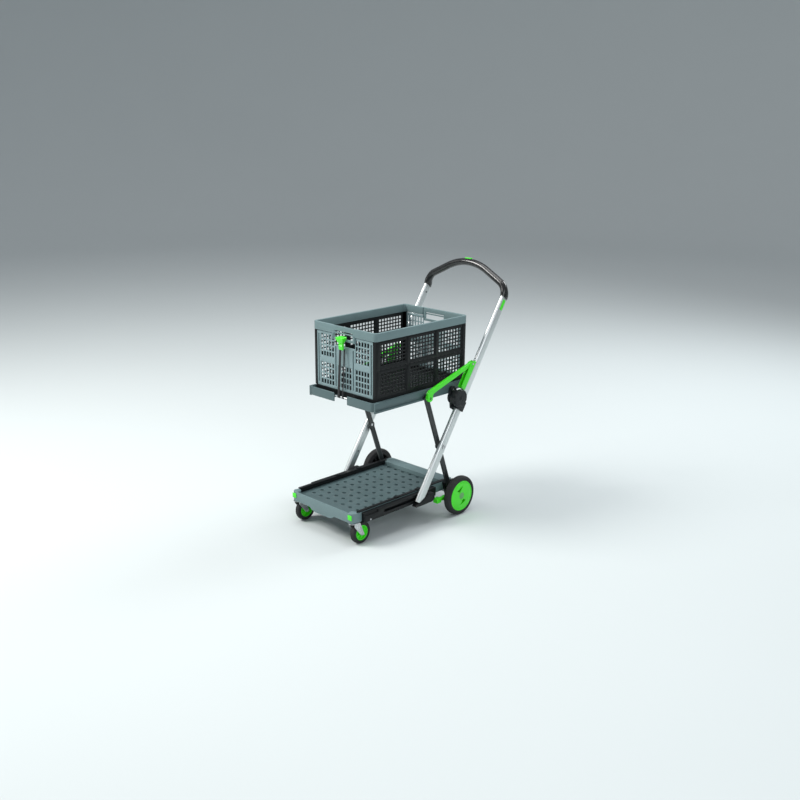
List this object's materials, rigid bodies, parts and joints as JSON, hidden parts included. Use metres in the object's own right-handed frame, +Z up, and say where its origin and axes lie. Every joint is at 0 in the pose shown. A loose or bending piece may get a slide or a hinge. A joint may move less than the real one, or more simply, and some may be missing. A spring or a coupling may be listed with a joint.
{
  "type": "shopping cart",
  "caption": "Folding shopping cart: scissor frame with a lift-out crate on the upper tray, a perforated lower deck, large rear wheels, front casters and an arched handle.",
  "frame": {"origin": "centre of the footprint box on the ground", "axes": "+Z up, +X to the right of a person who pushes the cart, -Y the front with the casters, +Y the handle"},
  "size_m": [0.527, 0.8892, 1.0384],
  "materials": {
    "tyre_black": "matt",
    "green_plastic": "satin",
    "zinc_steel": "zinc plated",
    "dark_metal": "satin",
    "silver_tube": "satin anodised",
    "grey_plastic": "fine texture",
    "pale_panel": "fine texture",
    "cap_grey": "satin",
    "grip_black": "semi gloss",
    "strap_rubber": "matt",
    "black_plastic": "fine texture"
  },
  "bodies": {
    "deck": {"deck_frame": "grey_plastic", "deck_floor": "grey_plastic", "deck_rail_left": "black_plastic", "deck_rail_right": "black_plastic", "corner_inserts": "green_plastic", "wheel_brackets": "black_plastic", "rear_axle": "zinc_steel"},
    "pedal": {"brake_pedal": "green_plastic"},
    "wheel_left": {"wheel_tyre_left": "tyre_black", "wheel_disc_left": "green_plastic", "wheel_cap_left": "cap_grey"},
    "wheel_right": {"wheel_tyre_right": "tyre_black", "wheel_disc_right": "green_plastic", "wheel_cap_right": "cap_grey"},
    "caster_left": {"caster_stem_left": "zinc_steel", "caster_fork_left": "zinc_steel", "caster_axle_left": "zinc_steel"},
    "caster_right": {"caster_stem_right": "zinc_steel", "caster_fork_right": "zinc_steel", "caster_axle_right": "zinc_steel"},
    "caster_wheel_left": {"caster_hub_left": "green_plastic", "caster_tyre_left": "tyre_black"},
    "caster_wheel_right": {"caster_hub_right": "green_plastic", "caster_tyre_right": "tyre_black"},
    "struts": {"strut_left": "dark_metal", "strut_right": "dark_metal", "strut_shaft": "zinc_steel", "strut_pins": "zinc_steel"},
    "lower_frame": {"lower_tube_left": "silver_tube", "lower_tube_right": "silver_tube", "shoe_left": "black_plastic", "shoe_right": "black_plastic", "hub_left": "black_plastic", "hub_right": "black_plastic", "hub_bolts": "zinc_steel", "tray_shaft": "zinc_steel"},
    "tray": {"tray": "grey_plastic", "tray_rails": "grey_plastic", "strap_bar": "zinc_steel"},
    "handle": {"handle_tube_left": "silver_tube", "handle_tube_right": "silver_tube", "knuckle_left": "black_plastic", "knuckle_right": "black_plastic", "arm_bracket_left": "green_plastic", "arm_bracket_right": "green_plastic", "arm_pins": "zinc_steel", "grip": "grip_black"},
    "button": {"release_button": "green_plastic"},
    "arms": {"arm_left": "green_plastic", "arm_right": "green_plastic"},
    "crate": {"crate_rim": "grey_plastic", "crate_base": "black_plastic", "crate_side_left": "black_plastic", "crate_side_right": "black_plastic", "crate_hinge_pins": "zinc_steel"},
    "end_front": {"crate_end_front": "pale_panel"},
    "end_rear": {"crate_end_rear": "pale_panel"},
    "latch": {"latch_hook": "green_plastic", "straps": "strap_rubber"}
  },
  "joints": [
    {"name": "fold", "type": "hinge", "parent": "deck", "child": "struts", "pos_m": [0, 0.10186, 0.118], "axis": [1, 0, 0], "range_deg": [0, 45.3]},
    {"name": "tube_cross", "type": "hinge", "parent": "struts", "child": "lower_frame", "pos_m": [0, 0.03107, 0.31571], "axis": [1, 0, 0], "range_deg": [-90.61, 0]},
    {"name": "tray_level", "type": "hinge", "parent": "lower_frame", "child": "tray", "pos_m": [0, 0.1113, 0.53978], "axis": [1, 0, 0], "range_deg": [0, 45.31]},
    {"name": "handle_fold", "type": "hinge", "parent": "lower_frame", "child": "handle", "pos_m": [0, 0.1163, 0.51078], "axis": [1, 0, 0], "range_deg": [0, 145.77]},
    {"name": "arm_swing", "type": "hinge", "parent": "handle", "child": "arms", "pos_m": [0, 0.2059, 0.63998], "axis": [1, 0, 0], "range_deg": [-113.37, 0]},
    {"name": "crate_lift", "type": "slide", "parent": "tray", "child": "crate", "axis": [0, 0, 1], "range_m": [0, 0.2]},
    {"name": "latch_swing", "type": "hinge", "parent": "tray", "child": "latch", "pos_m": [0, -0.32964, 0.55578], "axis": [1, 0, 0], "range_deg": [0, 115]},
    {"name": "end_front_fold", "type": "hinge", "parent": "crate", "child": "end_front", "pos_m": [0, -0.30814, 0.79898], "axis": [1, 0, 0], "range_deg": [0, 90]},
    {"name": "end_rear_fold", "type": "hinge", "parent": "crate", "child": "end_rear", "pos_m": [0, 0.21186, 0.79898], "axis": [1, 0, 0], "range_deg": [-90, 0]},
    {"name": "button_press", "type": "slide", "parent": "handle", "child": "button", "axis": [0, -0.1564, -0.9877], "range_m": [0, 0.004], "stiffness_N_per_m": 500, "springref_m": -0.003},
    {"name": "pedal_press", "type": "hinge", "parent": "deck", "child": "pedal", "pos_m": [0, 0.11686, 0.0845], "axis": [1, 0, 0], "range_deg": [0, 18]},
    {"name": "wheel_left_spin", "type": "hinge", "parent": "deck", "child": "wheel_left", "pos_m": [-0.2465, 0.11686, 0.0845], "axis": [1, 0, 0], "continuous": true},
    {"name": "wheel_right_spin", "type": "hinge", "parent": "deck", "child": "wheel_right", "pos_m": [0.2465, 0.11686, 0.0845], "axis": [1, 0, 0], "continuous": true},
    {"name": "caster_left_swivel", "type": "hinge", "parent": "deck", "child": "caster_left", "pos_m": [-0.167, -0.42714, 0.1], "axis": [0, 0, 1], "continuous": true},
    {"name": "caster_left_spin", "type": "hinge", "parent": "caster_left", "child": "caster_wheel_left", "pos_m": [-0.167, -0.38714, 0.046], "axis": [1, 0, 0], "continuous": true},
    {"name": "caster_right_swivel", "type": "hinge", "parent": "deck", "child": "caster_right", "pos_m": [0.167, -0.42714, 0.1], "axis": [0, 0, 1], "continuous": true},
    {"name": "caster_right_spin", "type": "hinge", "parent": "caster_right", "child": "caster_wheel_right", "pos_m": [0.167, -0.38714, 0.046], "axis": [1, 0, 0], "continuous": true}
  ],
  "couplings": [
    {"joint": "tube_cross", "follows": "fold", "ratio": -2},
    {"joint": "tray_level", "follows": "fold", "ratio": 1},
    {"joint": "handle_fold", "follows": "fold", "ratio": 3.2176},
    {"joint": "arm_swing", "follows": "fold", "ratio": -2.5024},
    {"joint": "latch_swing", "follows": "crate_lift", "rad_per_m": 10}
  ]
}
